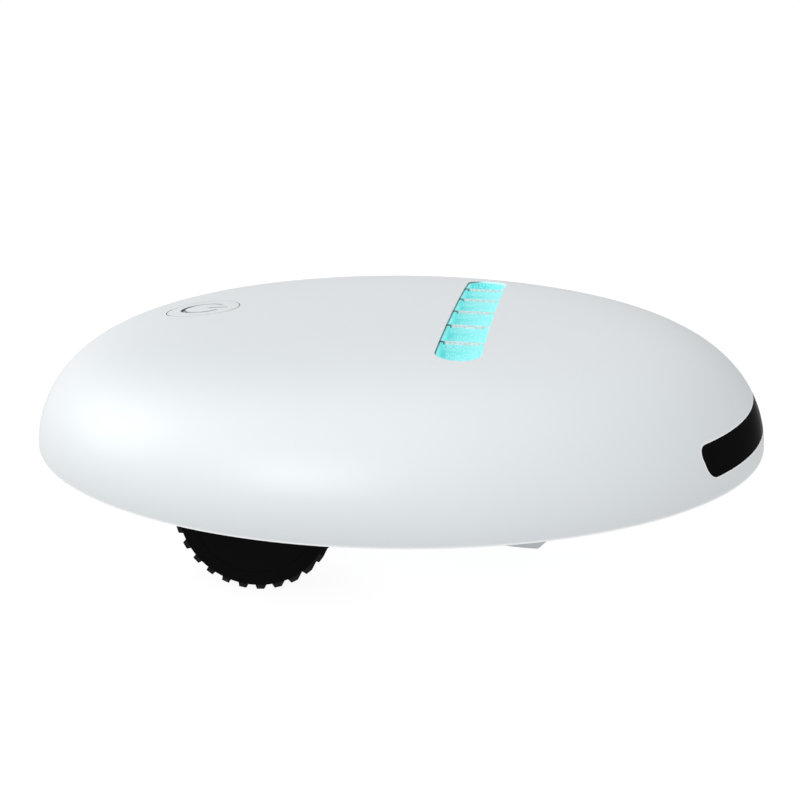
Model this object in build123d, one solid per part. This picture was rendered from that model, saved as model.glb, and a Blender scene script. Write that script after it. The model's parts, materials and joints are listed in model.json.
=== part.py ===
from build123d import *
from math import atan2, cos, pi, radians, sin, sqrt, tan
import os

# Two wheel robot car. Millimetres, +X is forward, +Y is the robot's left, +Z is up.
# The origin lies on the body's axis, on the floor that the tyres and the ball stand on.

# Driving dimensions
BODY_R = 155.0          # radius of the round body, at the rim
RIM_Z = 49.8            # height of the sharp lower rim
WALL = 2.5              # moulded shell wall
GAP = 0.3               # assembly gap between moulded pieces
SKY_Z = RIM_Z + 70.0    # a height above everything, where cuts from above start
DEEP_Z = RIM_Z + 11.0   # where cuts through the upper shell end

# Dome: height over the rim = edge + shoulder * sqrt(1 - q^n) + crown * (1 - q^2), q = r / BODY_R
DOME_EDGE = 0.3
DOME_SHOULDER = 44.4
DOME_CROWN = 6.9
DOME_POWER = 5.9
DOME_POINTS = 14        # places that its curve is drawn through

# Lower shell
BELLY_R = 68.0
BELLY_Z = 17.8
LIP_H = 7.0             # lip that reaches up inside the upper shell
LIP_T = 2.0
LIP_R = BODY_R - WALL - GAP
LIP_TOP_Z = RIM_Z + LIP_H

# Screws: hole radius in plastic, hole radius in what they hold, and head radius
M2_HOLE, M2_PASS, M2_HEAD = 1.0, 1.1, 1.9
M3_HOLE, M3_PASS, M3_HEAD = 1.25, 1.6, 2.8
HEAD_H = 1.6
POST_R = 3.0            # posts that M2 screws go into
POST_HOLE = 6.0         # depth of their holes

# Body screws
SHELL_SCREW_R = 124.0
SHELL_SCREW_DEG = [45, 135, 225, 315]
BOSS_R = 4.0
SCREW_SEAT_Z = RIM_Z - 6.0
SHELL_SCREW_L = 24.0

# Light strip across the top
STRIP_X = 31.0
STRIP_HALF_W = 8.95
STRIP_HALF_L = 80.6
STRIP_DEPTH = 3.8       # floor of the tray under the surface
TRAY_T = 1.2
TRAY_GAP = 0.4
TRAY_SUNK = 0.6         # the tray's edge lies this far under the surface
FLANGE = 2.0            # how far the tray's flange reaches under the shell
RIB_PITCH = 27.3
RIB_COUNT = 5
RIB_W = 1.2
RIB_H = 1.1
RIB_TOP = 0.35          # the ribs' tops lie this far under the surface
RIB_GAP = 0.15          # between a rib's end and the shell
NOTCH_GAP = 0.05        # between a rib and its notch in the tray
LED_COUNT = 12
LED_SIZE = (5.0, 5.0, 1.4)
LED_ROW = 144.0
LED_BOARD_T = 1.6
LED_BOARD_SIZE = (14.0, 150.0)
LED_PLATE_Z = RIM_Z + 34.0   # board's top face
STRIP_POSTS = [(STRIP_X + i, j) for i in (-17, 17) for j in (60, -60)]

# Front window
WINDOW_Z0 = RIM_Z + 8.0
WINDOW_Z1 = RIM_Z + 20.4
WINDOW_HALF_Y = 86.7
WINDOW_CORNER = 5.0
WINDOW_T = 1.8
WINDOW_GAP = 0.15
WINDOW_SUNK = 0.05
WINDOW_FROM_X = 90.0    # the window's wedge starts here

# Sensors behind the window
SENSOR_Z = (WINDOW_Z0 + WINDOW_Z1) / 2
SENSOR_TOP_Z = RIM_Z + 27.0
SENSOR_ANGLES = [-24, 0, 24]
SENSOR_POSTS = [(118, 58), (118, -58)]
SENSOR_BACK_X = 138.0   # back of the small boards
SENSOR_BOARD = (1.2, 16.0, 10.0)
SENSOR_R = 2.5
SENSOR_L = 4.0
STRAP_T = 2.0

# Power button
BUTTON_X = -87.8
BUTTON_R = 15.75
BUTTON_GAP = 0.4
BUTTON_T = 2.4
SKIRT_T = 1.4
ICON_R = 8.8            # middle of the engraved ring
ICON_W = 2.0
ICON_DEPTH = 1.0
ICON_GAP_DEG = 32.0     # half of the ring's opening
ICON_BAR = (1.6, 11.1)
STEM_R = 3.0
STEM_CLEAR = 0.08
BRACKET_Z = RIM_Z + 37.0     # top of the button's guide plate
BRACKET_R = 22.5
BRACKET_T = 2.0
SLEEVE_H = 5.0
BRACKET_POSTS = [(BUTTON_X, 19.5), (BUTTON_X, -19.5)]
SKIRT_Z = BRACKET_Z + 4.5
SWITCH_BOARD_Z = RIM_Z + 27.0
SWITCH_BOARD = (30.0, 16.0, 1.6)
SWITCH_LEGS = [(BUTTON_X - 11, 0), (BUTTON_X + 11, 0)]
SWITCH_LEG_R = 2.4
SWITCH_SIZE = (6.2, 2.4)
PLUNGER_R = 1.6
STEM_END_Z = RIM_Z + 30.8
SPRING_R = 4.6
SPRING_WIRE = 0.35
SPRING_TURNS = 4
SPRING_SLACK = 0.6      # between the spring's top and the cap

# Wheels
WHEEL_X = -48.8
WHEEL_R = 33.0
DRUM_R = 30.9           # tyre between the lugs
TYRE_IN_R = 25.5
WHEEL_Y0 = 53.5
WHEEL_Y1 = 77.5
TYRE_BEVEL = 1.0
LUGS = 28
LUG_ROOT_DEG = 7.0
LUG_TIP_DEG = 5.2
LUG_PHASE_DEG = 3.5     # first lug, from straight down
LUG_SUNK = 0.6          # how far the lugs reach into the drum
HUB_CORES = [(7.0, 14.0), (16.0, 23.0)]   # rings cored out of the hub from behind
HUB_FACE = 4.8          # thickness of its closed face
HUB_SUNK = 0.2
AXLE_R = 2.0
AXLE_END = 10.0         # the axle ends this far inside the wheel's face
HUB_SCREW = (5.5, 1.3, 2.8, 3.2)   # seat's depth, shank, head and recess radii
RUN = 0.05              # radial running clearance
WELL_CLEAR = 4.0
WELL_WALL = 2.0
WELL_Y0 = 50.8          # outside face of the well's inner wall
WELL_END = 3.0          # from the wheel's outer face to the well's end

# Gear train, one each side
MODULE = 0.5
PRESSURE = radians(25)
THIN = 0.06             # each tooth is thinned by this much
MOTOR_T = 12
FIRST_T = 38
SECOND_T = 38
PINION_T = 14
OUTPUT_T = 38
TO_SECOND = radians(40)
TO_FIRST = radians(-10)
TO_MOTOR = radians(25)
PLANE_A = (42.4, 46.4)  # output gear and the second gear's pinion
PLANE_B = (37.9, 41.9)  # second gear's wheel and the first gear's pinion
PLANE_C = (33.6, 37.4)  # first gear's wheel and the motor's pinion
COLLAR_R = 2.4
WEB = (4.2, 7.6, 1.2)   # inner and outer radius and depth of the output gear's sunk web
PIN_R = 1.0
PIN_END = 0.3           # wall left outside each pin's end
CASE_Y = (31.0, 48.6)
COVER_T = 1.8
CASE_WALL = 1.5
CASE_CLEAR = 0.4
CASE_LUG_R = 2.6
CASE_LUG_DEG = (160, 100, -57)
CASE_SCREW_R = 0.9
CASE_SCREW_L = 10.0
BUSH_R = 3.5
BUSH_FLANGE = (5.0, 0.8)
MOTOR_R = 12.0
MOTOR_Y = (4.0, 30.9)
MOTOR_COLLAR_R = 3.0
MOTOR_FLAT = 10.2       # height of the can's flat over its axis
SHAFT_R = 1.0

# Front ball caster
BALL_R = 10.0
BALL_X = 52.0
BALL_GAP = 0.3
CAP_R = BALL_R + BALL_GAP + 2.0
POD_FRONT_X = 62.0
POD_REAR_X = 28.0
POD_HALF_X = 38.0
POD_HALF_Y = 21.0
POD_TIP_Z = 1.6
POD_SLOPE = radians(6)
POD_NOSE = 1.15         # how far the nose leans forward for its height
CASTER_SCREWS = [(BALL_X - 6, 15.5), (BALL_X - 6, -15.5)]

# Battery
CELL_R = 9.2
CELL_L = 50.0
CELL_X = (-54.25, -35.75)
CELL_Z = BELLY_Z + 13.2
COVER_X = -45.0
COVER_SIZE = (39.0, 53.0)
COVER_SHEET = 1.5
COVER_CORNER = 6.0
TONGUE = (6.0, 1.8)     # width and reach of the cover's tongues

# Main board: chips are x, y, length, width and height
BOARD_Z = RIM_Z + 15.0
BOARD_T = 1.6
BOARD_X = (-74.0, 16.0)
BOARD_HALF_Y = 45.0
BOARD_HOLES = [(-70.0, 41.0), (12.0, 41.0), (12.0, -41.0), (-70.0, -41.0)]
BOARD_POST_R = 3.2
CHIPS = [(-50, 12, 14, 14, 1.6), (-20, 18, 10, 10, 1.4), (-18, -16, 8, 6, 1.6),
         (-55, -22, 9, 9, 4.0), (0, 30, 6, 12, 6.0), (0, -28, 6, 12, 6.0)]


def dome_z(r, inset=0.0):
    """Height of the dome, moved inwards by inset, at radius r."""
    q = min(r / (BODY_R - inset), 1.0)
    rise = DOME_EDGE + DOME_SHOULDER * sqrt(1 - q ** DOME_POWER) + DOME_CROWN * (1 - q * q)
    return RIM_Z + rise - inset


def dome_solid(inset=0.0):
    """Everything under the dome, moved inwards by inset, down to the rim."""
    outer = BODY_R - inset
    steps = [sin(pi / 2 * i / DOME_POINTS) ** 0.75 for i in range(DOME_POINTS + 1)]
    points = [(outer * q, dome_z(outer * q, inset)) for q in steps]
    curve = Spline(*points, tangents=[(1, 0), (0, -1)])
    side = Line(points[-1], (outer, RIM_Z))
    base = Polyline((outer, RIM_Z), (0, RIM_Z), points[0])
    profile = make_face(curve + side + base)
    return revolve(Plane.XZ * profile, Axis.Z)


def disc(x, y, z0, z1, r):
    """Upright cylinder between two heights."""
    return Pos(x, y, (z0 + z1) / 2) * Cylinder(r, z1 - z0)


def block(x0, x1, y0, y1, z0, z1):
    """Box between two corners."""
    return Pos((x0 + x1) / 2, (y0 + y1) / 2, (z0 + z1) / 2) * Box(x1 - x0, y1 - y0, z1 - z0)


def slab(sketch, z0, z1):
    """Plan outline raised between two heights."""
    return Pos(0, 0, z0) * extrude(sketch, z1 - z0)


def cross(x, z, y0, y1, r):
    """Cylinder across the body on the right-hand side, from |Y| y0 to y1."""
    return Pos(x, -(y0 + y1) / 2, z) * Rot(90, 0, 0) * Cylinder(r, y1 - y0)


def side_slab(sketch, y0, y1):
    """Side outline (X, Z) raised on the right-hand side, from |Y| y0 to y1."""
    return extrude(Plane.XZ.offset(y0) * sketch, y1 - y0)


def side_ring(x, z, profile):
    """Ring about a cross axis, from (radius, |Y|) points, on the right-hand side."""
    face = make_face(Polyline(*profile, close=True))
    return Pos(x, 0, z) * Rot(90, 0, 0) * revolve(Plane.XZ * face, Axis.Z)


def ring(x, y, profile):
    """Ring about an upright axis from (radius, height) points."""
    face = make_face(Polyline(*profile, close=True))
    return Pos(x, y, 0) * revolve(Plane.XZ * face, Axis.Z)


def left(part):
    """The same piece on the left-hand side."""
    return mirror(part, about=Plane.XZ)


def group(parts):
    """Several separate solids as one node."""
    return Compound(children=[s for p in parts for s in p.solids()])


def screw(x, y, seat, length, r=M2_HOLE, head=M2_HEAD, up=True):
    """Pan-head screw with a cross recess, driven upwards (or downwards) from its seat."""
    shank = Pos(0, 0, length / 2) * Cylinder(r, length)
    cap = Pos(0, 0, -HEAD_H / 2) * Cylinder(head, HEAD_H)
    bar = (head * 1.2, 0.7, 0.9)
    slot = Pos(0, 0, -0.75 * HEAD_H) * (Box(*bar) + Rot(0, 0, 90) * Box(*bar))
    return Pos(x, y, seat) * Rot(0 if up else 180, 0, 0) * (shank + cap - slot)


# Gears ----------------------------------------------------------------------------------

def gear_sketch(x, z, teeth, phase):
    """Spur gear outline with involute flanks; one tooth points along phase (radians)."""
    pitch = MODULE * teeth / 2
    base = pitch * cos(PRESSURE)
    tip = pitch + MODULE
    root = pitch - 1.2 * MODULE
    half = pi / (2 * teeth) - THIN / (2 * pitch) + tan(PRESSURE) - PRESSURE
    start = max(base, root)
    radii = [start + (tip - start) * i / 3 for i in range(4)]

    def flank(r):
        roll = sqrt(max(0.0, (r / base) ** 2 - 1))
        return half - (roll - atan2(roll, 1))

    def at(r, angle):
        return (x + r * cos(angle), z + r * sin(angle))

    edges = []
    for k in range(teeth):
        mid = phase + 2 * pi * k / teeth
        after = mid + 2 * pi / teeth
        rise = [at(r, mid - flank(r)) for r in radii]
        fall = [at(r, mid + flank(r)) for r in reversed(radii)]
        foot_in = at(root, mid - flank(start))
        foot_out = at(root, mid + flank(start))
        foot_next = at(root, after - flank(start))
        if root < start:
            edges += [Line(foot_in, rise[0]), Line(fall[-1], foot_out)]
        edges += [Spline(*rise), Line(rise[-1], fall[0]), Spline(*fall)]
        low = foot_out if root < start else fall[-1]
        high = foot_next if root < start else at(radii[0], after - flank(start))
        edges += [ThreePointArc(low, at(root, mid + pi / teeth), high)]
    return make_face(edges)


def mesh_phase(phase, teeth, other_teeth, angle):
    """Phase of a gear in mesh with one at phase, whose centre lies along angle from it."""
    turn = 0.5 - (phase - angle) * teeth / (2 * pi)
    return angle + pi + 2 * pi / other_teeth * turn


def step_to(centre, teeth, other_teeth, angle):
    """Centre of the gear that meshes along angle."""
    reach = MODULE * (teeth + other_teeth) / 2
    return (centre[0] + reach * cos(angle), centre[1] + reach * sin(angle))


OUTPUT_AT = (WHEEL_X, WHEEL_R)
SECOND_AT = step_to(OUTPUT_AT, OUTPUT_T, PINION_T, TO_SECOND)
FIRST_AT = step_to(SECOND_AT, SECOND_T, PINION_T, TO_FIRST)
MOTOR_AT = step_to(FIRST_AT, FIRST_T, MOTOR_T, TO_MOTOR)

GEARS_INSIDE = [(OUTPUT_AT, OUTPUT_T), (SECOND_AT, SECOND_T), (FIRST_AT, FIRST_T),
                (MOTOR_AT, MOTOR_T)]
LUG_REACH = MODULE * OUTPUT_T / 2 + MODULE + CASE_CLEAR + CASE_WALL + 0.6
CASE_LUGS = [(x + LUG_REACH * cos(radians(a)), z + LUG_REACH * sin(radians(a)))
             for (x, z), a in zip((OUTPUT_AT, SECOND_AT, FIRST_AT), CASE_LUG_DEG)]


def output_gear():
    """Last gear, pressed on the axle, with a sunk web on both faces."""
    y0, y1 = PLANE_A
    gear = side_slab(gear_sketch(*OUTPUT_AT, OUTPUT_T, 0.0), y0, y1)
    inner, outer, depth = WEB
    for low, high in ((y0, y0 + depth), (y1 - depth, y1)):
        gear -= side_ring(*OUTPUT_AT, [(inner, low), (outer, low), (outer, high), (inner, high)])
    return gear - cross(*OUTPUT_AT, y0 - 1, y1 + 1, AXLE_R)


def second_gear():
    """Wheel in the middle plane, with the pinion that turns the output gear."""
    pinion_phase = mesh_phase(0.0, OUTPUT_T, PINION_T, TO_SECOND)
    pinion = side_slab(gear_sketch(*SECOND_AT, PINION_T, pinion_phase), PLANE_B[1], PLANE_A[1])
    wheel = side_slab(gear_sketch(*SECOND_AT, SECOND_T, 0.0), *PLANE_B)
    collar = cross(*SECOND_AT, PLANE_C[0] - 0.4, PLANE_B[0], COLLAR_R)
    bore = cross(*SECOND_AT, PLANE_C[0] - 1, PLANE_A[1] + 1, PIN_R + RUN)
    return pinion + wheel + collar - bore


def first_gear():
    """Wheel that the motor's pinion turns, with the pinion of the next step."""
    pinion_phase = mesh_phase(0.0, SECOND_T, PINION_T, TO_FIRST)
    pinion = side_slab(gear_sketch(*FIRST_AT, PINION_T, pinion_phase), PLANE_C[1], PLANE_B[1])
    wheel = side_slab(gear_sketch(*FIRST_AT, FIRST_T, 0.0), *PLANE_C)
    collar = cross(*FIRST_AT, PLANE_B[1], PLANE_A[1], COLLAR_R)
    bore = cross(*FIRST_AT, PLANE_C[0] - 1, PLANE_A[1] + 1, PIN_R + RUN)
    return pinion + wheel + collar - bore


def motor_pinion():
    """Brass pinion on the motor's shaft, turning with it."""
    phase = mesh_phase(0.0, FIRST_T, MOTOR_T, TO_MOTOR)
    gear = side_slab(gear_sketch(*MOTOR_AT, MOTOR_T, phase), *PLANE_C)
    shaft = cross(*MOTOR_AT, MOTOR_Y[1] - 6, PLANE_C[1] + 0.8, SHAFT_R)
    return gear + shaft


def motor():
    """Motor can with a front collar, a flat and two solder tabs."""
    x, z = MOTOR_AT
    low, high = MOTOR_Y
    can = cross(x, z, low, high, MOTOR_R)
    can -= block(x - 20, x + 20, 3 - high, 1 - low, z + MOTOR_FLAT, z + 20)
    can += cross(x, z, high, CASE_Y[0] + COVER_T - 0.2, MOTOR_COLLAR_R)
    for side in (-5.5, 5.5):
        can += Pos(x + side, 1.4 - low, z) * Box(2.2, 2.8, 0.5)
    return can - cross(x, z, high - 7, CASE_Y[0] + COVER_T + 1, SHAFT_R + RUN)


def gear_pins():
    """Two steel pins that the gears turn on."""
    low, high = CASE_Y[0] + PIN_END, CASE_Y[1] - PIN_END
    return group([cross(*SECOND_AT, low, high, PIN_R), cross(*FIRST_AT, low, high, PIN_R)])


def case_outline(grow):
    """Hull around the gears, grown by grow."""
    edges = []
    for (x, z), teeth in GEARS_INSIDE:
        edges += (Pos(x, z) * Circle(MODULE * teeth / 2 + MODULE + CASE_CLEAR + grow)).edges()
    return make_hull(edges)


def gearbox_case():
    """Open tray that holds the gears, closed by the cover on the motor's side."""
    low, high = CASE_Y
    case = side_slab(case_outline(CASE_WALL), low + COVER_T, high)
    for x, z in CASE_LUGS:
        case += cross(x, z, low + COVER_T, high - 4, CASE_LUG_R)
    case -= side_slab(case_outline(0.0), low, high - CASE_WALL)
    for x, z in CASE_LUGS:
        case -= cross(x, z, low, low + CASE_SCREW_L + 2, CASE_SCREW_R)
    case -= cross(*OUTPUT_AT, high - 3, high + 1, BUSH_R)
    for centre in (SECOND_AT, FIRST_AT):
        case -= cross(*centre, high - 3, high - PIN_END, PIN_R)
    return case


def gearbox_cover():
    """Flat cover that carries the motor and the other end of each pin."""
    low, high = CASE_Y[0], CASE_Y[0] + COVER_T
    plate = side_slab(case_outline(CASE_WALL), low, high)
    plate += cross(*MOTOR_AT, low, high, MOTOR_R)
    for x, z in CASE_LUGS:
        plate += cross(x, z, low, high, CASE_LUG_R)
        plate -= cross(x, z, low - 1, high + 1, CASE_SCREW_R)
    plate -= cross(*OUTPUT_AT, low - 1, high + 1, AXLE_R + RUN)
    plate -= cross(*MOTOR_AT, low - 1, high + 1, MOTOR_COLLAR_R)
    for centre in (SECOND_AT, FIRST_AT):
        plate -= cross(*centre, low + PIN_END, high + 1, PIN_R)
    return plate


def gearbox_screws():
    """Three small screws through the cover into the case."""
    seat = CASE_Y[0]
    parts = []
    for x, z in CASE_LUGS:
        shank = cross(x, z, seat, seat + CASE_SCREW_L, CASE_SCREW_R)
        parts.append(shank + cross(x, z, seat - 1.2, seat, 2 * CASE_SCREW_R))
    return group(parts)


def axle_bush():
    """Flanged bush in the gearbox wall and the well's wall."""
    low, high = CASE_Y[1] - CASE_WALL, WELL_Y0
    bore = AXLE_R + RUN
    flange_r, flange_t = BUSH_FLANGE
    return side_ring(*OUTPUT_AT, [(bore, low), (BUSH_R, low), (BUSH_R, high), (flange_r, high),
                                  (flange_r, high + flange_t), (bore, high + flange_t)])


# Wheel ----------------------------------------------------------------------------------

def axle():
    return cross(*OUTPUT_AT, CASE_Y[0] - 0.5, WHEEL_Y1 - AXLE_END, AXLE_R)


def wheel_hub():
    """Moulded hub: closed flush face, cored out from behind in rings, on the axle's end."""
    y0, face = WHEEL_Y0, WHEEL_Y1 - HUB_SUNK
    hub = side_ring(*OUTPUT_AT, [(0, y0), (TYRE_IN_R, y0), (TYRE_IN_R, face), (0, face)])
    for inner, outer in HUB_CORES:
        depth = face - HUB_FACE
        hub -= side_ring(*OUTPUT_AT, [(inner, y0), (outer, y0), (outer, depth), (inner, depth)])
    seat, shank, _, recess = HUB_SCREW
    hub -= cross(*OUTPUT_AT, y0 - 1, WHEEL_Y1 - AXLE_END, AXLE_R)
    hub -= cross(*OUTPUT_AT, y0, WHEEL_Y1, shank)
    return hub - cross(*OUTPUT_AT, WHEEL_Y1 - seat, WHEEL_Y1, recess)


def tyre_outline():
    """Side view of the tyre: a drum with tapered lugs."""
    foot = DRUM_R - LUG_SUNK
    outline = Circle(DRUM_R)
    for k in range(LUGS):
        middle = 360 / LUGS * k + LUG_PHASE_DEG - 90
        corners = [(foot, -LUG_ROOT_DEG), (WHEEL_R, -LUG_TIP_DEG),
                   (WHEEL_R, LUG_TIP_DEG), (foot, LUG_ROOT_DEG)]
        points = [(r * cos(radians(middle + turn / 2)), r * sin(radians(middle + turn / 2)))
                  for r, turn in corners]
        outline += make_face(Polyline(*points, close=True))
    return outline - Circle(TYRE_IN_R)


def tyre():
    """Rubber tyre, its lugs bevelled at both ends."""
    y0, y1 = WHEEL_Y0, WHEEL_Y1
    body = side_slab(Pos(*OUTPUT_AT) * tyre_outline(), y0, y1)
    wide = WHEEL_R + 0.1
    return body & side_ring(*OUTPUT_AT, [(0, y0), (DRUM_R, y0), (wide, y0 + TYRE_BEVEL),
                                         (wide, y1 - TYRE_BEVEL), (DRUM_R, y1), (0, y1)])


def wheel_screw():
    """Screw that holds the hub on the axle's end."""
    depth, shank, head, _ = HUB_SCREW
    seat = WHEEL_Y1 - depth
    body = cross(*OUTPUT_AT, WHEEL_Y1 - AXLE_END, seat, shank)
    body += cross(*OUTPUT_AT, seat, seat + HEAD_H, head)
    bar = (1.2 * head, 0.9, 0.7)
    slot = Box(*bar) + Rot(0, 90, 0) * Box(*bar)
    return body - Pos(WHEEL_X, 0.3 - seat - HEAD_H, WHEEL_R) * slot


# Shells ---------------------------------------------------------------------------------

def strip_outline(grow=0.0):
    """Plan of the light strip: a long slot across the body."""
    half = STRIP_HALF_W + grow
    reach = STRIP_HALF_L + grow
    return Pos(STRIP_X, 0) * RectangleRounded(2 * half, 2 * reach, half - 0.01)


def strip_block(grow=0.0):
    return slab(strip_outline(grow), DEEP_Z, SKY_Z)


def window_block(grow=0.0):
    """Wedge with rounded corners that cuts the window out of the dome."""
    width = 2 * (WINDOW_HALF_Y + grow)
    height = WINDOW_Z1 - WINDOW_Z0 + 2 * grow
    face = RectangleRounded(width, height, WINDOW_CORNER + grow)
    plane = Plane((WINDOW_FROM_X, 0, SENSOR_Z), (0, 1, 0), (1, 0, 0))
    return extrude(plane * face, BODY_R)


def shell_screw_points():
    return [(SHELL_SCREW_R * cos(radians(a)), SHELL_SCREW_R * sin(radians(a)))
            for a in SHELL_SCREW_DEG]


def top_shell():
    """Upper shell with its openings and the bosses under it."""
    inner = dome_solid(WALL)
    shell = dome_solid() - inner
    shell -= strip_block()
    shell -= window_block()
    shell -= disc(BUTTON_X, 0, DEEP_Z, SKY_Z, BUTTON_R + BUTTON_GAP)
    posts = [(shell_screw_points(), LIP_TOP_Z, BOSS_R, M3_HOLE, 2 * POST_HOLE),
             (STRIP_POSTS, LED_PLATE_Z, POST_R, M2_HOLE, POST_HOLE),
             (BRACKET_POSTS, BRACKET_Z, 2.6, M2_HOLE, POST_HOLE),
             (SENSOR_POSTS, SENSOR_TOP_Z, POST_R, M2_HOLE, POST_HOLE)]
    for places, foot, radius, hole, depth in posts:
        for x, y in places:
            shell += disc(x, y, foot, SKY_Z, radius) & inner
            shell -= disc(x, y, foot - 1, foot + depth, hole)
    return shell


def well_shape(grow):
    """Right-hand wheel well: an arch over the wheel, open below."""
    r = WHEEL_R + WELL_CLEAR + grow
    y0, y1 = WELL_Y0 - grow, WHEEL_Y1 + WELL_END + grow
    arch = cross(WHEEL_X, WHEEL_R, y0, y1, r)
    return arch + block(WHEEL_X - r, WHEEL_X + r, -y1, -y0, 0, WHEEL_R)


def both_sides(part):
    return part + left(part)


def pan_outside():
    """Everything above the lower shell's outer surface."""
    return ring(0, 0, [(0, BELLY_Z), (BELLY_R, BELLY_Z), (LIP_R, RIM_Z - GAP), (LIP_R, SKY_Z),
                       (0, SKY_Z)])


def pan_sheet():
    """Belly, cone and lip, before anything is added."""
    rise = WALL / cos(atan2(RIM_Z - BELLY_Z, LIP_R - BELLY_R))
    inside = LIP_R - LIP_T
    return ring(0, 0, [(0, BELLY_Z), (BELLY_R, BELLY_Z), (LIP_R, RIM_Z - GAP),
                       (LIP_R, LIP_TOP_Z), (inside, LIP_TOP_Z),
                       (inside, RIM_Z - GAP + rise - 0.8), (BELLY_R - 0.5, BELLY_Z + WALL),
                       (0, BELLY_Z + WALL)])


def battery_hatch():
    """Cuts for the battery: the bay, the cover's seat and the slots for its tongues."""
    bay = COVER_SIZE[0] / 2 - 0.8, COVER_SIZE[1] / 2 - 0.8
    width, reach = TONGUE
    length = COVER_SIZE[1] + 2 * (reach + GAP)
    cut = block(COVER_X - bay[0], COVER_X + bay[0], -bay[1], bay[1], 0, BELLY_Z + 20)
    cut += slab(Pos(COVER_X, 0) * RectangleRounded(*COVER_SIZE, COVER_CORNER), 0, BELLY_Z + 1.7)
    return cut + slab(Pos(COVER_X, 0) * Rectangle(width + 0.4, length), BELLY_Z + 1.69,
                      BELLY_Z + 3.5)


def bottom_shell():
    """Lower shell: belly, cone, lip, wheel wells, bosses and the battery bay."""
    outside = pan_outside()
    pan = pan_sheet() + (outside & both_sides(well_shape(WELL_WALL)))
    for x, y in shell_screw_points():
        pan += disc(x, y, RIM_Z - 9, LIP_TOP_Z - 0.2, BOSS_R) & outside
        pan += disc(x, y, RIM_Z - 14, RIM_Z - 3, BOSS_R + 1.6) & outside
    for x, y in BOARD_HOLES:
        pan += disc(x, y, BELLY_Z + 1, BOARD_Z, BOARD_POST_R) & outside
    half_x, half_y = COVER_SIZE[0] / 2 + 0.8, COVER_SIZE[1] / 2 + 0.8
    pan += block(COVER_X - half_x, COVER_X + half_x, -half_y, half_y, BELLY_Z + 1, BELLY_Z + 9)
    for x, y in CASTER_SCREWS:
        pan += disc(x, y, BELLY_Z + 1, BELLY_Z + 8, POST_R)
    pan -= both_sides(well_shape(0.0))
    pan -= both_sides(cross(*OUTPUT_AT, WELL_Y0 - 3, WELL_Y0 + 1, BUSH_R))
    for x, y in shell_screw_points():
        pan -= disc(x, y, 0, SKY_Z, M3_PASS) + disc(x, y, 0, SCREW_SEAT_Z, 3.4)
    for x, y in BOARD_HOLES:
        pan -= disc(x, y, BOARD_Z - 7, BOARD_Z + 1, M2_HOLE)
    for x, y in CASTER_SCREWS:
        pan -= disc(x, y, 0, BELLY_Z + 7, M2_HOLE)
    pan -= battery_hatch()
    pan -= disc(BALL_X, 0, 0, BELLY_Z + 4, CAP_R + 0.2)
    return pan - (disc(0, 0, RIM_Z, SKY_Z, BODY_R + 5) - dome_solid(WALL + GAP))


def shell_screws():
    return group([screw(x, y, SCREW_SEAT_Z, SHELL_SCREW_L, M3_HOLE, M3_HEAD)
                  for x, y in shell_screw_points()])


# Light strip ----------------------------------------------------------------------------

def rib_places():
    return [(k - (RIB_COUNT - 1) / 2) * RIB_PITCH for k in range(RIB_COUNT)]


def rib_block(y, grow=0.0):
    """Upright block across the strip at one rib's place."""
    half = RIB_W / 2 + grow
    return block(STRIP_X - 20, STRIP_X + 20, y - half, y + half, DEEP_Z, SKY_Z)


def light_tray():
    """Tinted translucent tray: a sunk floor, notched walls and a flange underneath."""
    inside = strip_block(-TRAY_GAP - TRAY_T)
    tray = (strip_block(-TRAY_GAP) & dome_solid(TRAY_SUNK)) - dome_solid(STRIP_DEPTH + TRAY_T)
    tray -= inside - dome_solid(STRIP_DEPTH)
    notch_floor = dome_solid(RIB_TOP + RIB_H)
    for y in rib_places():
        tray -= rib_block(y, NOTCH_GAP) - notch_floor
    under = WALL + NOTCH_GAP
    flange = (strip_block(FLANGE) & dome_solid(under)) - dome_solid(under + TRAY_T)
    return tray + (flange - inside)


def light_ribs():
    """Slats that lie across the strip, in notches in the tray's walls."""
    room = (strip_block(-RIB_GAP) & dome_solid(RIB_TOP)) - dome_solid(RIB_TOP + RIB_H)
    return group([room & rib_block(y) for y in rib_places()])


def light_board():
    """Lamp board, on four posts under the strip."""
    low, high = LED_PLATE_Z - LED_BOARD_T, LED_PLATE_Z
    plate = slab(Pos(STRIP_X, 0) * RectangleRounded(*LED_BOARD_SIZE, 2), low, high)
    for x, y in STRIP_POSTS:
        x0, x1 = sorted((STRIP_X, x))
        plate += block(x0, x1, y - POST_R, y + POST_R, low, high) + disc(x, y, low, high, POST_R)
        plate -= disc(x, y, low - 1, high + 1, M2_PASS)
    return plate


def light_leds():
    """Row of lamp chips on the board."""
    pitch = LED_ROW / LED_COUNT
    middle = LED_PLATE_Z + LED_SIZE[2] / 2
    return group([Pos(STRIP_X, (k - (LED_COUNT - 1) / 2) * pitch, middle) * Box(*LED_SIZE)
                  for k in range(LED_COUNT)])


def light_screws():
    return group([screw(x, y, LED_PLATE_Z - LED_BOARD_T, 6.5) for x, y in STRIP_POSTS])


# Front window and sensors ----------------------------------------------------------------

def front_window():
    """Smoked pane, flush with the shell."""
    pane = window_block(-WINDOW_GAP) & dome_solid(WINDOW_SUNK)
    return pane - dome_solid(WINDOW_SUNK + WINDOW_T)


def sensor_bracket():
    """Strap across the front, with a bent arm for each sensor board."""
    low, high = SENSOR_TOP_Z - STRAP_T, SENSOR_TOP_Z
    end = SENSOR_BACK_X
    strap = block(114, 122, -62, 62, low, high)
    for angle in SENSOR_ANGLES:
        arm = block(112, end, -6, 6, low, high)
        arm += block(end - STRAP_T, end, -6, 6, SENSOR_Z - 6, high)
        strap += Rot(0, 0, angle) * arm
    for x, y in SENSOR_POSTS:
        strap -= disc(x, y, low - 2, high + 1, M2_PASS)
    return strap


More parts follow.
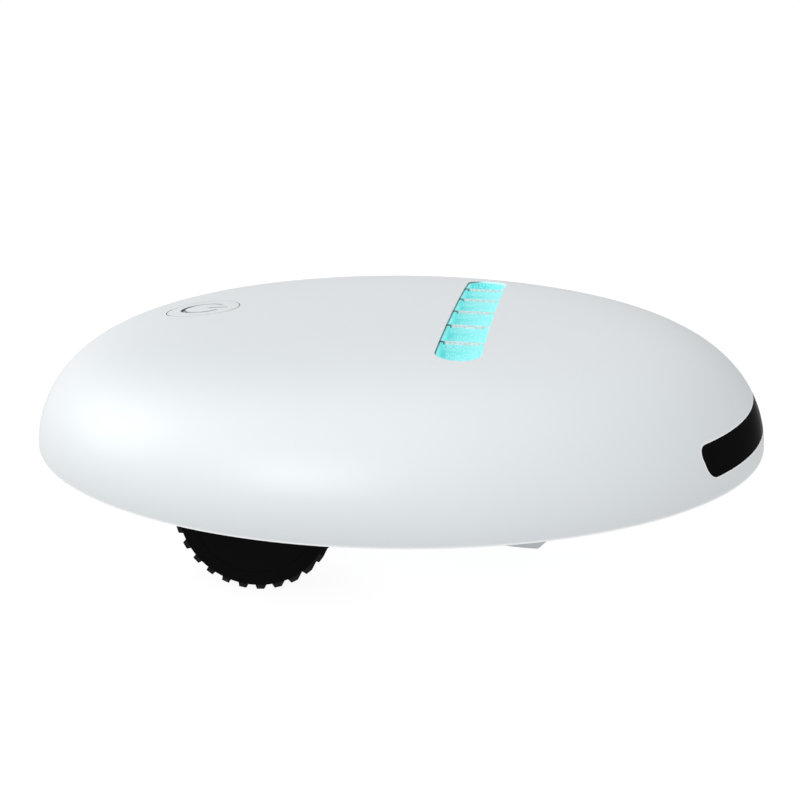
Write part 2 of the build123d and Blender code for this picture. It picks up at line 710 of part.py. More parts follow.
def sensor_boards():
    """Three small boards, one behind each part of the window."""
    thick = SENSOR_BOARD[0]
    return group([Rot(0, 0, a) * Pos(SENSOR_BACK_X + thick / 2, 0, SENSOR_Z) * Box(*SENSOR_BOARD)
                  for a in SENSOR_ANGLES])


def distance_sensors():
    """Sender and receiver barrels on each board."""
    x = SENSOR_BACK_X + SENSOR_BOARD[0] + SENSOR_L / 2
    barrel = Rot(0, 90, 0) * Cylinder(SENSOR_R, SENSOR_L)
    return group([Rot(0, 0, angle) * Pos(x, y, SENSOR_Z) * barrel
                  for angle in SENSOR_ANGLES for y in (-4, 4)])


def sensor_screws():
    return group([screw(x, y, SENSOR_TOP_Z - STRAP_T, 6.5) for x, y in SENSOR_POSTS])


# Power button ----------------------------------------------------------------------------

def power_sign():
    """Plan of the engraved sign: an open ring, and a bar through its opening."""
    sign = Circle(ICON_R + ICON_W / 2) - Circle(ICON_R - ICON_W / 2)
    reach = 2 * ICON_R
    rise = reach * tan(radians(ICON_GAP_DEG))
    sign -= make_face(Polyline((0, 0), (reach, rise), (reach, -rise), close=True))
    start, end = ICON_BAR
    sign += Pos((start + end) / 2, 0) * SlotOverall(end - start, ICON_W)
    return Pos(BUTTON_X, 0) * sign


def button_cap():
    """Round cap that follows the dome, with the engraved power sign, a skirt and a stem."""
    below = dome_solid(BUTTON_T)
    cap = (disc(BUTTON_X, 0, DEEP_Z, SKY_Z, BUTTON_R) & dome_solid()) - below
    skirt = disc(BUTTON_X, 0, SKIRT_Z, SKY_Z, BUTTON_R)
    skirt -= disc(BUTTON_X, 0, SKIRT_Z - 1, SKY_Z + 1, BUTTON_R - SKIRT_T)
    cap += skirt & below
    cap += disc(BUTTON_X, 0, STEM_END_Z, SKY_Z, STEM_R) & below
    return cap - (slab(power_sign(), DEEP_Z, SKY_Z) - dome_solid(ICON_DEPTH))


def button_bracket():
    """Guide plate under the cap, with a sleeve for the stem and legs for the switch board."""
    plate = disc(BUTTON_X, 0, BRACKET_Z - BRACKET_T, BRACKET_Z, BRACKET_R)
    plate += disc(BUTTON_X, 0, BRACKET_Z - SLEEVE_H, BRACKET_Z, STEM_R + 2.2)
    for x, y in SWITCH_LEGS:
        plate += disc(x, y, SWITCH_BOARD_Z, BRACKET_Z, SWITCH_LEG_R)
        plate -= disc(x, y, SWITCH_BOARD_Z - 1, SWITCH_BOARD_Z + POST_HOLE, CASE_SCREW_R)
    plate -= disc(BUTTON_X, 0, BRACKET_Z - 8, BRACKET_Z + 1, STEM_R + STEM_CLEAR)
    for x, y in BRACKET_POSTS:
        plate -= disc(x, y, BRACKET_Z - 4, BRACKET_Z + 1, M2_PASS)
    return plate


def button_spring():
    """Coil spring around the stem, from the guide plate to just under the cap."""
    top = dome_z(-BUTTON_X + SPRING_R, BUTTON_T) - SPRING_SLACK
    height = top - BRACKET_Z - SPRING_WIRE * 2
    path = Helix(height / SPRING_TURNS, height, SPRING_R)
    section = Plane(path @ 0, z_dir=path % 0) * Circle(SPRING_WIRE)
    coil = sweep(section, path=path, is_frenet=True)
    return Pos(BUTTON_X, 0, BRACKET_Z + SPRING_WIRE) * coil


def switch_board():
    """Small board under the button, screwed to the bracket's legs."""
    length, width, thick = SWITCH_BOARD
    plan = Pos(BUTTON_X, 0) * RectangleRounded(length, width, 2)
    board = slab(plan, SWITCH_BOARD_Z - thick, SWITCH_BOARD_Z)
    for x, y in SWITCH_LEGS:
        board -= disc(x, y, SWITCH_BOARD_Z - 3, SWITCH_BOARD_Z + 1, M2_HOLE)
    return board


def power_switch():
    """Push switch on the board, with the well its plunger slides in."""
    width, height = SWITCH_SIZE
    body = Pos(BUTTON_X, 0, SWITCH_BOARD_Z + height / 2) * Box(width, width, height)
    return body - disc(BUTTON_X, 0, SWITCH_BOARD_Z + 0.8, SWITCH_BOARD_Z + 3,
                       PLUNGER_R + STEM_CLEAR)


def switch_plunger():
    """Plunger of the switch, always against the stem."""
    return disc(BUTTON_X, 0, SWITCH_BOARD_Z + 2.1, STEM_END_Z, PLUNGER_R)


def switch_screws():
    """Two screws through the switch board, and two through the guide plate."""
    seat = SWITCH_BOARD_Z - SWITCH_BOARD[2]
    low = [screw(x, y, seat, 5.5, CASE_SCREW_R, 1.7) for x, y in SWITCH_LEGS]
    high = [screw(x, y, BRACKET_Z - BRACKET_T, 6.5) for x, y in BRACKET_POSTS]
    return group(low + high)


# Caster ----------------------------------------------------------------------------------

def pod_outline():
    """Side view of the caster's pod: a sloping foot with a steep front."""
    foot_rear = POD_TIP_Z + (POD_FRONT_X - POD_REAR_X) * tan(POD_SLOPE)
    nose = BELLY_Z - POD_TIP_Z
    return make_face(Polyline((POD_FRONT_X, POD_TIP_Z), (POD_FRONT_X + nose * POD_NOSE, BELLY_Z),
                              (POD_REAR_X - 14, BELLY_Z), (POD_REAR_X, foot_rear), close=True))


def caster_housing():
    """Pod under the belly with the ball's socket."""
    pod = extrude(Plane.XZ.offset(-POD_HALF_Y) * pod_outline(), 2 * POD_HALF_Y)
    middle = (POD_FRONT_X + POD_REAR_X) / 2
    pod &= slab(Pos(middle, 0) * Ellipse(POD_HALF_X, POD_HALF_Y), 0, BELLY_Z)
    pod -= Pos(BALL_X, 0, BALL_R) * Sphere(BALL_R + BALL_GAP)
    pod -= disc(BALL_X, 0, BALL_R, BELLY_Z + 1, BALL_R + BALL_GAP)
    for x, y in CASTER_SCREWS:
        pod -= disc(x, y, 0, BELLY_Z + 1, 1.3)
        pod -= disc(x, y, 0, BELLY_Z - 4, 2.6)
    return pod


def caster_ball():
    return Pos(BALL_X, 0, BALL_R) * Sphere(BALL_R)


def caster_cap():
    """Plug that closes the socket from above."""
    plug = disc(BALL_X, 0, BALL_R + 4, BELLY_Z + 0.1, BALL_R + BALL_GAP - 0.1)
    plug += disc(BALL_X, 0, BELLY_Z + 0.05, BELLY_Z + 5.2, CAP_R)
    return plug - Pos(BALL_X, 0, BALL_R) * Sphere(BALL_R + BALL_GAP)


def caster_screws():
    return group([screw(x, y, BELLY_Z - 4, 9, M2_HOLE, 2.2) for x, y in CASTER_SCREWS])


# Battery and main board ------------------------------------------------------------------

def battery_cells():
    return group([cross(x, CELL_Z, -CELL_L / 2, CELL_L / 2, CELL_R) for x in CELL_X])


def battery_cover():
    """Hatch in the belly, with two side tongues and a finger notch."""
    length, width = (size - 2 * GAP for size in COVER_SIZE)
    outline = Pos(COVER_X, 0) * RectangleRounded(length, width, COVER_CORNER - GAP)
    plate = slab(outline, BELLY_Z, BELLY_Z + COVER_SHEET)
    notch = Pos(COVER_X + 15.5, 0) * SlotOverall(14, 2.4, rotation=90)
    plate -= slab(notch, BELLY_Z - 1, BELLY_Z + 0.8)
    half, reach = TONGUE[0] / 2, COVER_SIZE[1] / 2 + TONGUE[1]
    top = BELLY_Z + 3.2
    tongues = block(COVER_X - half, COVER_X + half, -reach, reach, BELLY_Z + 1.75, top)
    neck = block(COVER_X - half, COVER_X + half, -22, 22, BELLY_Z + 1, top)
    return plate + tongues + neck


def main_board():
    board = block(*BOARD_X, -BOARD_HALF_Y, BOARD_HALF_Y, BOARD_Z, BOARD_Z + BOARD_T)
    for x, y in BOARD_HOLES:
        board -= disc(x, y, BOARD_Z - 1, BOARD_Z + 3, M2_PASS)
    return board


def board_chips():
    top = BOARD_Z + BOARD_T
    return group([Pos(x, y, top + h / 2) * Box(a, b, h) for x, y, a, b, h in CHIPS])


def board_screws():
    seat = BOARD_Z + BOARD_T
    return group([screw(x, y, seat, 7, M2_HOLE, 2.0, up=False) for x, y in BOARD_HOLES])


CENTRE_PARTS = {
    "top_shell": top_shell, "bottom_shell": bottom_shell, "shell_screws": shell_screws,
    "light_tray": light_tray, "light_ribs": light_ribs, "light_board": light_board,
    "light_leds": light_leds, "light_screws": light_screws, "front_window": front_window,
    "sensor_bracket": sensor_bracket, "sensor_boards": sensor_boards,
    "distance_sensors": distance_sensors, "sensor_screws": sensor_screws,
    "button_cap": button_cap, "button_bracket": button_bracket,
    "button_spring": button_spring, "switch_board": switch_board,
    "power_switch": power_switch, "switch_plunger": switch_plunger,
    "switch_screws": switch_screws,
    "caster_housing": caster_housing, "caster_ball": caster_ball, "caster_cap": caster_cap,
    "caster_screws": caster_screws, "battery_cells": battery_cells,
    "battery_cover": battery_cover, "main_board": main_board, "board_chips": board_chips,
    "board_screws": board_screws,
}

SIDE_PARTS = {
    "motor": motor, "motor_pinion": motor_pinion, "first_gear": first_gear,
    "second_gear": second_gear, "output_gear": output_gear, "gear_pins": gear_pins,
    "gearbox_case": gearbox_case, "gearbox_cover": gearbox_cover,
    "gearbox_screws": gearbox_screws, "axle_bush": axle_bush, "axle": axle,
    "wheel_hub": wheel_hub, "tyre": tyre, "wheel_screw": wheel_screw,
}


def main():
    os.makedirs("parts", exist_ok=True)
    for name, make in CENTRE_PARTS.items():
        export_step(make(), f"parts/{name}.step")
    for name, make in SIDE_PARTS.items():
        part = make()
        export_step(part, f"parts/right_{name}.step")
        export_step(left(part), f"parts/left_{name}.step")


main()
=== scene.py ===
import json
import math
import bpy
from mathutils import Matrix, Vector


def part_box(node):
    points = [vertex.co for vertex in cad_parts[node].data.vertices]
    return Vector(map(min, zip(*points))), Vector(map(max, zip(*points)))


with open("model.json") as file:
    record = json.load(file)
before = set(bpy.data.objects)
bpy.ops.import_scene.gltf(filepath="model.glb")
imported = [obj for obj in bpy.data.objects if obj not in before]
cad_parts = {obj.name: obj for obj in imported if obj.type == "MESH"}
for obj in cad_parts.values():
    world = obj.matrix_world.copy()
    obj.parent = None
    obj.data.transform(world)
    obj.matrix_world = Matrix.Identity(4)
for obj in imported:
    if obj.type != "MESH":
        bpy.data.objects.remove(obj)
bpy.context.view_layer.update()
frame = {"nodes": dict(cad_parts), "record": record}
nodes = frame["nodes"]
scene = bpy.context.scene

# Places and sizes in metres, from the frame --------------------------------------------

MM = 0.001
shell_low, shell_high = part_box("top_shell")
BODY_R = shell_high.x
RIM = Vector((0, 0, shell_low.z))

TRAY_FLANGE = Vector((2.0 * MM, 2.0 * MM, 0))     # hidden under the shell
tray_low, tray_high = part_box("light_tray")
strip_low, strip_high = tray_low + TRAY_FLANGE, tray_high - TRAY_FLANGE
rib_low, rib_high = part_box("light_ribs")
RIB_PITCH = (rib_high.y - rib_low.y) / 4          # five ribs

cap_low, cap_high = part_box("button_cap")
BUTTON_X = (cap_low.x + cap_high.x) / 2
BUTTON_R = (cap_high.x - cap_low.x) / 2

pane_low, pane_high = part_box("front_window")
PANE_CORNER = 5.0 * MM

tyre_low, tyre_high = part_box("right_tyre")
WHEEL = (tyre_low + tyre_high) / 2
DRUM_R = (tyre_high.x - tyre_low.x) / 2 - 2.1 * MM      # under the lugs

# Surface detail: waves per metre of the noise that draws it, and its depth
DRIFT = 9.0             # slow change of tone
CLOUD = 60.0            # patches of gloss
GRAIN = 2200.0          # spark-eroded mould
GRAIN_DEPTH = 0.04 * MM
BODY_WHITE = (0.735, 0.775, 0.795)


# Node helpers ---------------------------------------------------------------------------

class Nodes:
    """Builds one procedural material."""

    def __init__(self, name):
        self.mat = bpy.data.materials.new(name)
        self.mat.use_nodes = True
        self.tree = self.mat.node_tree
        self.shader = self.tree.nodes["Principled BSDF"]
        self.coords = self.add("ShaderNodeTexCoord").outputs["Object"]

    def add(self, kind, **settings):
        node = self.tree.nodes.new(kind)
        for key, value in settings.items():
            setattr(node, key, value)
        return node

    def link(self, a, b):
        self.tree.links.new(a, b)

    def set(self, **values):
        """Plain values on the shader's own sockets."""
        for key, value in values.items():
            self.shader.inputs[key.replace("_", " ")].default_value = value
        return self

    def drive(self, socket, value):
        self.link(value, self.shader.inputs[socket])
        return self

    def math(self, op, a, b=None, c=None):
        node = self.add("ShaderNodeMath", operation=op)
        for socket, value in zip(node.inputs, (a, b, c)):
            if value is None:
                continue
            if isinstance(value, (int, float)):
                socket.default_value = value
            else:
                self.link(value, socket)
        return node.outputs[0]

    def axis(self, source=None):
        """X, Y and Z of the place in metres, or of another vector."""
        split = self.add("ShaderNodeSeparateXYZ")
        self.link(source or self.coords, split.inputs[0])
        return split.outputs

    def facing(self):
        """X, Y and Z of the surface's direction, as modelled."""
        return self.axis(self.add("ShaderNodeTexCoord").outputs["Normal"])

    def length(self, a, b):
        return self.math("SQRT", self.math("ADD", self.math("MULTIPLY", a, a),
                                           self.math("MULTIPLY", b, b)))

    def distance(self, a, b, at_a, at_b):
        """Distance in a plane from a fixed place."""
        return self.length(self.math("SUBTRACT", a, at_a), self.math("SUBTRACT", b, at_b))

    def past(self, value, limit):
        """How far a value is past a limit on either side of zero; 0 within it."""
        over = self.math("SUBTRACT", self.math("ABSOLUTE", value), limit)
        return self.math("MAXIMUM", over, 0.0)

    def all_of(self, *masks):
        out = masks[0]
        for mask in masks[1:]:
            out = self.math("MULTIPLY", out, mask)
        return out

    def blend(self, mask, a, b):
        """Colour a where the mask is 0, and b where it is 1."""
        node = self.add("ShaderNodeMix", data_type="RGBA")
        self.link(mask, node.inputs["Factor"])
        for name, colour in (("A", a), ("B", b)):
            if isinstance(colour, tuple):
                node.inputs[name].default_value = (*colour, 1)
            else:
                self.link(colour, node.inputs[name])
        return node.outputs["Result"]

    def noise(self, scale, detail=3.0, rough=0.55, coords=None):
        node = self.add("ShaderNodeTexNoise")
        node.inputs["Scale"].default_value = scale
        node.inputs["Detail"].default_value = detail
        node.inputs["Roughness"].default_value = rough
        self.link(coords or self.coords, node.inputs["Vector"])
        return node.outputs["Fac"]

    def ramp(self, fac, stops):
        node = self.add("ShaderNodeValToRGB")
        elements = node.color_ramp.elements
        while len(elements) < len(stops):
            elements.new(0.5)
        for element, (place, colour) in zip(elements, stops):
            element.position = place
            element.color = (*colour, 1)
        self.link(fac, node.inputs["Fac"])
        return node.outputs["Color"]

    def span(self, value, low, high, out_low, out_high):
        """Carries low..high over to out_low..out_high, and holds the ends."""
        node = self.add("ShaderNodeMapRange")
        for name, number in (("From Min", low), ("From Max", high),
                             ("To Min", out_low), ("To Max", out_high)):
            node.inputs[name].default_value = number
        self.link(value, node.inputs["Value"])
        return node.outputs["Result"]

    def spread(self, noise, low, high):
        """A noise's usual swing, carried over to low..high."""
        return self.span(noise, 0.3, 0.7, low, high)

    def tones(self, noise, dark, light):
        """Two tones of one colour over a noise's usual swing."""
        return self.ramp(noise, [(0.3, dark), (0.7, light)])

    def bump(self, height, depth, strength=0.5):
        node = self.add("ShaderNodeBump")
        node.inputs["Distance"].default_value = depth
        node.inputs["Strength"].default_value = strength
        self.link(height, node.inputs["Height"])
        return self.drive("Normal", node.outputs["Normal"])


def shade(colour, factor):
    return tuple(min(1.0, c * factor) for c in colour)


# Plastic and metal ----------------------------------------------------------------------

def moulded(name, colour, rough=0.4, vary=0.03, grain=GRAIN, depth=GRAIN_DEPTH, **extra):
    """Moulded plastic: slight drift in tone and gloss, and a fine spark-eroded grain."""
    n = Nodes(name)
    tone = n.tones(n.noise(DRIFT, 2.0), shade(colour, 1 - vary), shade(colour, 1 + vary))
    n.drive("Base Color", tone)
    n.drive("Roughness", n.spread(n.noise(CLOUD, 2.0), rough - 0.03, rough + 0.03))
    n.bump(n.noise(grain, 2.0), depth, 0.35)
    return n.set(**extra).mat


def metal(name, colour, rough=0.3, stretch=(1, 40, 1)):
    """Turned or drawn metal with fine lines along one axis."""
    n = Nodes(name)
    place = n.add("ShaderNodeMapping")
    place.inputs["Scale"].default_value = stretch
    n.link(n.coords, place.inputs["Vector"])
    lines = n.noise(900.0, 4.0, 0.7, place.outputs["Vector"])
    n.drive("Base Color", n.tones(lines, shade(colour, 0.82), shade(colour, 1.08)))
    n.drive("Roughness", n.spread(lines, rough - 0.08, rough + 0.1))
    n.bump(lines, 0.02 * MM, 0.4)
    return n.set(Metallic=1.0).mat


# Upper shell ----------------------------------------------------------------------------

def slot_distance(n, x, y):
    """Distance outside the light strip's round-ended opening; negative inside."""
    half = (strip_high.x - strip_low.x) / 2
    reach = (strip_high.y - strip_low.y) / 2 - half
    side = n.math("SUBTRACT", x, (strip_low.x + strip_high.x) / 2)
    return n.math("SUBTRACT", n.length(side, n.past(y, reach)), half)


def pane_distance(n, y, z):
    """Distance outside the front window's outline, on its own plane."""
    half_y, half_z = (pane_high.y - pane_low.y) / 2, (pane_high.z - pane_low.z) / 2
    down = n.math("SUBTRACT", z, (pane_low.z + pane_high.z) / 2)
    out = n.length(n.past(y, half_y - PANE_CORNER), n.past(down, half_z - PANE_CORNER))
    return n.math("SUBTRACT", out, PANE_CORNER)


def button_shade_masks(n, x, y, upright, face_x):
    """Painted shade on the walls of the gap round the button, and on the walls of the sign cut
    into its top.
    """
    radius = n.distance(x, y, BUTTON_X, 0.0)
    sideways = n.span(n.math("ABSOLUTE", face_x), 0.72, 0.95, 0.35, 1.0)
    gap = n.all_of(upright, n.math("LESS_THAN", radius, BUTTON_R + 0.8 * MM),
                   n.math("GREATER_THAN", radius, BUTTON_R - 1.0 * MM), sideways)
    # The sign's painted shade is strongest towards its rear.
    rear = n.span(x, BUTTON_X - 0.5 * BUTTON_R, BUTTON_X - 0.25 * BUTTON_R, 0.9, 0.27)
    sign = n.all_of(upright, n.math("LESS_THAN", radius, BUTTON_R - 3.0 * MM), rear)
    return gap, sign


def edge_highlight_mask(n, x, y, z):
    """Painted highlight on the thin lower rim and the lip round the front window."""
    rim = n.span(z, RIM.z + 0.2 * MM, RIM.z + 0.9 * MM, 1.0, 0.0)
    lip = n.span(pane_distance(n, y, z), 0.3 * MM, 0.7 * MM, 1.0, 0.0)
    return n.math("MAXIMUM", rim, n.all_of(n.math("GREATER_THAN", x, 0.0), lip))


def shell_material():
    """Satin white, with painted shade on the walls of the button's gap, its sign and the strip's
    rear wall, a painted highlight on the lower rim and the window's lip, and a painted cyan glow
    from the strip on the strip's other walls.
    """
    n = Nodes("shell_white")
    x, y, z = n.axis()
    face_x, _, face_z = n.facing()
    upright = n.math("LESS_THAN", n.math("ABSOLUTE", face_z), 0.6)
    gap, sign = button_shade_masks(n, x, y, upright, face_x)
    strip_wall = n.all_of(upright, n.math("LESS_THAN", slot_distance(n, x, y), 0.2 * MM))
    # Painted shade on the strip's rear wall.
    rear_wall_shade = n.all_of(strip_wall, n.span(face_x, 0.3, 0.8, 0.0, 0.75))
    # Painted light: the strip's other walls glow cyan, standing in for light from the strip.
    glow = n.all_of(strip_wall, n.span(face_x, 0.0, 0.5, 0.45, 0.0))
    colour = n.tones(n.noise(DRIFT, 2.0), shade(BODY_WHITE, 0.988), shade(BODY_WHITE, 1.012))
    # Painted highlight on the lower rim and the window's lip.
    colour = n.blend(edge_highlight_mask(n, x, y, z), colour, (0.97, 0.98, 0.985))
    # Painted shade in the sign's groove.
    colour = n.blend(sign, colour, (0.06, 0.07, 0.08))
    # Painted shade on the strip's rear wall.
    colour = n.blend(rear_wall_shade, colour, (0.10, 0.13, 0.13))
    # Painted shade in the gap round the button.
    colour = n.blend(gap, colour, (0.015, 0.02, 0.022))
    n.drive("Base Color", colour)
    n.drive("Emission Strength", glow)
    n.drive("Roughness", n.spread(n.noise(CLOUD, 2.0), 0.29, 0.33))
    n.bump(n.noise(GRAIN, 2.0), GRAIN_DEPTH / 2, 0.35)
    # The cyan colour of the painted glow on the strip's walls.
    return n.set(Emission_Color=(0.35, 0.85, 0.85, 1)).mat


# Light strip ----------------------------------------------------------------------------

def tray_material():
    """Tinted tray lit from under: speckled, with painted shade near the rear wall, deepest
    behind each rib's rear end.
    """
    n = Nodes("tray_cyan")
    x, y, _ = n.axis()
    along = n.math("FRACT", n.math("DIVIDE", n.math("SUBTRACT", y, rib_low.y), RIB_PITCH))
    # Painted shade near the rear wall, deepest just behind each rib.
    rear = n.span(x, rib_low.x, rib_low.x + 14 * MM, 1.0, 0.0)
    rib_shade = n.all_of(rear, n.span(along, 0.1, 0.9, 0.25, 1.0))
    speck = n.noise(1900.0, 2.0, 0.75)
    tone = n.math("SUBTRACT", n.math("MULTIPLY_ADD", speck, 3.0, -0.88),
                  n.math("MULTIPLY", rib_shade, 0.45))
    tone = n.math("MULTIPLY_ADD", n.noise(130.0), 0.25, tone)
    glow = n.ramp(tone, [(0.10, (0.03, 0.31, 0.31)), (0.55, (0.10, 0.42, 0.42)),
                         (0.95, (0.27, 0.54, 0.55))])
    n.drive("Emission Color", glow)
    n.drive("Base Color", n.ramp(tone, [(0.10, (0.04, 0.35, 0.35)), (0.95, (0.14, 0.48, 0.49))]))
    n.bump(speck, 0.08 * MM)
    return n.set(Emission_Strength=1.0, Roughness=0.45).mat


def rib_material():
    """Pale slats, with painted shade at their rear ends, where they drop into their notches."""
    n = Nodes("rib_white")
    x, _, _ = n.axis()
    pale = n.ramp(n.noise(1300.0, 2.0), [(0.35, (0.60, 0.63, 0.63)), (0.65, (0.82, 0.84, 0.84))])
    # Painted shade at each rib's rear end.
    end = n.span(x, rib_low.x + 1.4 * MM, rib_low.x + 2.6 * MM, 1.0, 0.0)
    n.drive("Base Color", n.blend(end, pale, (0.03, 0.06, 0.06)))
    n.bump(n.noise(GRAIN, 2.0), GRAIN_DEPTH, 0.35)
    return n.set(Roughness=0.45).mat


def lamp_material():
    """Lit lamp chips."""
    n = Nodes("lamp_chip")
    spots = n.noise(700.0, 1.0)
    n.drive("Base Color", n.tones(spots, (0.5, 0.95, 0.93), (0.7, 1.0, 0.98)))
    n.drive("Emission Color", n.tones(spots, (0.3, 1.0, 0.95), (0.5, 1.0, 1.0)))
    return n.set(Emission_Strength=2.0, Roughness=0.3).mat


# Wheels and works -----------------------------------------------------------------------

def tyre_material():
    """Black rubber; the lugs are painted a little lighter than the plain sidewall, standing in
    for light on their faces, and dust varies the tone.
    """
    n = Nodes("tyre_rubber")
    x, _, z = n.axis()
    radius = n.distance(x, z, WHEEL.x, WHEEL.z)
    # Painted light: the lugs are lighter than the sidewall.
    lug = n.span(radius, DRUM_R - 0.2 * MM, DRUM_R + 0.3 * MM, 0.0, 0.75)
    dust = n.noise(420.0, 4.0)
    tone = n.math("MULTIPLY_ADD", dust, 0.3, lug)
    n.drive("Base Color", n.ramp(tone, [(0.2, (0.0062, 0.0062, 0.0062)),
                                        (0.95, (0.022, 0.022, 0.0225))]))
    n.drive("Roughness", n.spread(dust, 0.68, 0.85))
    n.bump(n.noise(1500.0), 0.06 * MM)
    return n.set(Specular_IOR_Level=0.02).mat


def board_material():
    """Green solder mask with faint tracks under it."""
    n = Nodes("circuit_board")
    tracks = n.add("ShaderNodeTexBrick", offset=0.37, squash=1.0)
    tracks.inputs["Scale"].default_value = 260.0
    tracks.inputs["Mortar Size"].default_value = 0.012
    tracks.inputs["Color1"].default_value = (0.010, 0.085, 0.036, 1)
    tracks.inputs["Color2"].default_value = (0.014, 0.105, 0.045, 1)
    tracks.inputs["Mortar"].default_value = (0.03, 0.20, 0.09, 1)
    n.link(n.coords, tracks.inputs["Vector"])
    n.drive("Base Color", tracks.outputs["Color"])
    n.bump(tracks.outputs["Fac"], 0.05 * MM, 0.4)
    return n.set(Roughness=0.3).mat


def cell_material():
    """Blue shrink wrap, slightly wrinkled along the cell, with pale ends."""
    n = Nodes("cell_wrap")
    _, y, _ = n.axis()
    _, cell_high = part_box("battery_cells")
    end = n.math("GREATER_THAN", n.math("ABSOLUTE", y), cell_high.y - 0.4 * MM)
    wrap = n.tones(n.noise(90.0), (0.02, 0.09, 0.33), (0.03, 0.12, 0.42))
    n.drive("Base Color", n.blend(end, wrap, (0.6, 0.6, 0.6)))
    n.bump(n.noise(500.0, 2.0), 0.05 * MM, 0.4)
    return n.set(Roughness=0.28).mat


# Materials by the record's slots --------------------------------------------------------

BY_SLOT = {
    "shell": shell_material(),
    "pan": moulded("pan_white", (0.70, 0.735, 0.75), rough=0.5, vary=0.015),
    "smoked": moulded("smoked_window", (0.0050, 0.0050, 0.0052), rough=0.16, vary=0.05,
                      grain=400, depth=0.004 * MM, Specular_IOR_Level=0.02, IOR=1.08),
    "tray": tray_material(),
    "led": lamp_material(),
    "rib": rib_material(),
    "tyre": tyre_material(),
    "hub": moulded("hub_black", (0.0066, 0.0066, 0.0067), rough=0.7, vary=0.1,
                   Specular_IOR_Level=0.02),
    "gear": moulded("gear_acetal", (0.78, 0.76, 0.70), rough=0.42),
    "steel": metal("steel", (0.58, 0.58, 0.6)),
    "brass": metal("brass", (0.72, 0.5, 0.2), rough=0.28),
    "case": moulded("case_grey", (0.05, 0.055, 0.06), rough=0.55, vary=0.08),
    "board": board_material(),
    "chip": moulded("chip_black", (0.015, 0.015, 0.017), rough=0.6, vary=0.1),
    "cell": cell_material(),
    "sensor": moulded("sensor_dark", (0.02, 0.012, 0.03), rough=0.15, vary=0.1, grain=500),
    "ball": moulded("ball_pale", (0.72, 0.74, 0.74), rough=0.32, vary=0.02),
}

for part in frame["record"]["subparts"]:
    mesh = nodes[part["node"]].data
    mesh.materials.clear()
    mesh.materials.append(BY_SLOT[part["material_slot"]])


# Floor and light ------------------------------------------------------------------------

def stage_piece(name, corners, faces, dark, light, glow):
    """A matt, faintly glowing part of the studio, which isn't part of the object."""
    mesh = bpy.data.meshes.new(name)
    mesh.from_pydata(corners, [], faces)
    obj = bpy.data.objects.new(name, mesh)
    scene.collection.objects.link(obj)
    n = Nodes(name + "_white")
    n.drive("Base Color", n.tones(n.noise(4.0), (dark, dark, dark), (light, light, light)))
    n.set(Roughness=0.9, Specular_IOR_Level=0.0, Emission_Color=(1, 1, 1, 1),
          Emission_Strength=glow)
    mesh.materials.append(n.mat)
    obj.visible_diffuse = False
    obj.visible_glossy = False
    return obj


def square(half, z):
    return [(-half, -half, z), (half, -half, z), (half, half, z), (-half, half, z)]


def floor():
    """Plain pale floor."""
    stage_piece("floor", square(1000 * BODY_R, 0), [(0, 1, 2, 3)], 0.13, 0.15, 0.93)


def backdrop():
    """White room far beyond the object, so a low view has no horizon; it lights nothing."""
    far = 30 * BODY_R
    walls = [(i, (i + 1) % 4, 4 + (i + 1) % 4, 4 + i) for i in range(4)]
    ceiling = (4, 5, 6, 7)
    room = stage_piece("backdrop", square(far, 0) + square(far, far), walls + [ceiling],
                       0.01, 0.02, 1.0)
    room.visible_transmission = False
    room.visible_shadow = False


# Light from each direction: where it comes from, how narrow it is and how strong
EVEN_LIGHT = 0.909
SURROUND = [((-0.35, -0.60, 0.72), 25.0, 3.97), ((-0.85, 0.20, 0.50), 25.0, 2.05),
            ((-0.69, 0.70, 0.05), 25.0, 0.18), ((-0.43, 0.73, 0.51), 25.0, -0.78),
            ((0.70, 0.30, 0.60), 4.0, -0.576), ((0.10, 0.97, 0.20), 4.0, -0.333),
            ((-0.10, -0.66, -0.74), 4.0, -0.70), ((-0.75, -0.30, -0.60), 4.0, -0.38)]


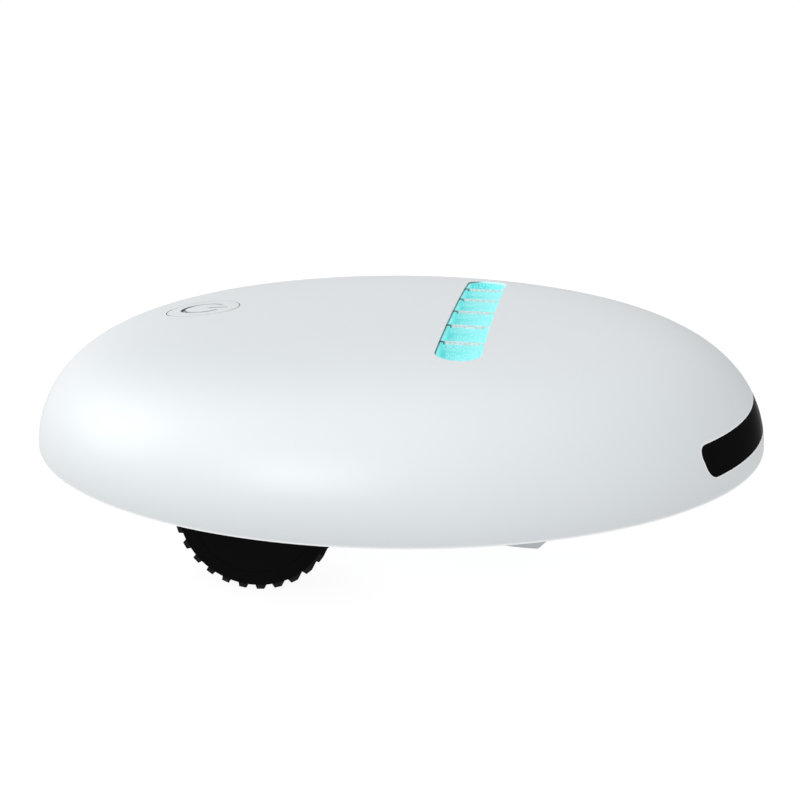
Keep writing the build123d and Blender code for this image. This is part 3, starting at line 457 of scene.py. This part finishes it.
def studio():
    """Even white surround with soft keys on the near and rear left, and dimmer elsewhere."""
    world = bpy.data.worlds.new("studio")
    scene.world = world
    world.use_nodes = True
    tree = world.node_tree
    sky = tree.nodes["Background"]
    sky.inputs["Color"].default_value = (1, 1, 1, 1)
    way = tree.nodes.new("ShaderNodeTexCoord").outputs["Generated"]

    def math_node(operation, *values):
        made = tree.nodes.new("ShaderNodeMath")
        made.operation = operation
        for socket, value in zip(made.inputs, values):
            if isinstance(value, (int, float)):
                socket.default_value = value
            else:
                tree.links.new(value, socket)
        return made.outputs[0]

    total = EVEN_LIGHT
    for direction, sharpness, strength in SURROUND:
        dot = tree.nodes.new("ShaderNodeVectorMath")
        dot.operation = "DOT_PRODUCT"
        tree.links.new(way, dot.inputs[0])
        dot.inputs[1].default_value = direction
        lobe = math_node("POWER", math_node("MAXIMUM", dot.outputs["Value"], 0.0), sharpness)
        total = math_node("MULTIPLY_ADD", lobe, strength, total)
    tree.links.new(total, sky.inputs["Strength"])


# Camera: distance and aim in body radii from the rim's centre, angles in radians --------

CAM_TURN = 0.1317
CAM_RISE = 0.2654
CAM_ROLL = 0.0054
CAM_DISTANCE = 4.2948
CAM_SIDE = -0.0043
CAM_UP = 0.0655
CAM_LENS = 68.27


def photo_camera():
    back = Vector((math.sin(CAM_TURN) * math.cos(CAM_RISE),
                   -math.cos(CAM_TURN) * math.cos(CAM_RISE), math.sin(CAM_RISE)))
    right = Vector((math.cos(CAM_TURN), math.sin(CAM_TURN), 0))
    up = back.cross(right)
    data = bpy.data.cameras.new("camera")
    data.lens = CAM_LENS
    data.sensor_width = 36
    data.clip_start = 0.01
    data.clip_end = 50
    camera = bpy.data.objects.new("camera", data)
    scene.collection.objects.link(camera)
    rolled_right = right * math.cos(CAM_ROLL) + up * math.sin(CAM_ROLL)
    rolled_up = up * math.cos(CAM_ROLL) - right * math.sin(CAM_ROLL)
    place = RIM + BODY_R * (right * CAM_SIDE + up * CAM_UP + back * CAM_DISTANCE)
    turn = Matrix((rolled_right, rolled_up, back)).transposed().to_4x4()
    camera.matrix_world = Matrix.Translation(place) @ turn
    scene.camera = camera


floor()
backdrop()
studio()
photo_camera()
scene.view_settings.view_transform = "Standard"
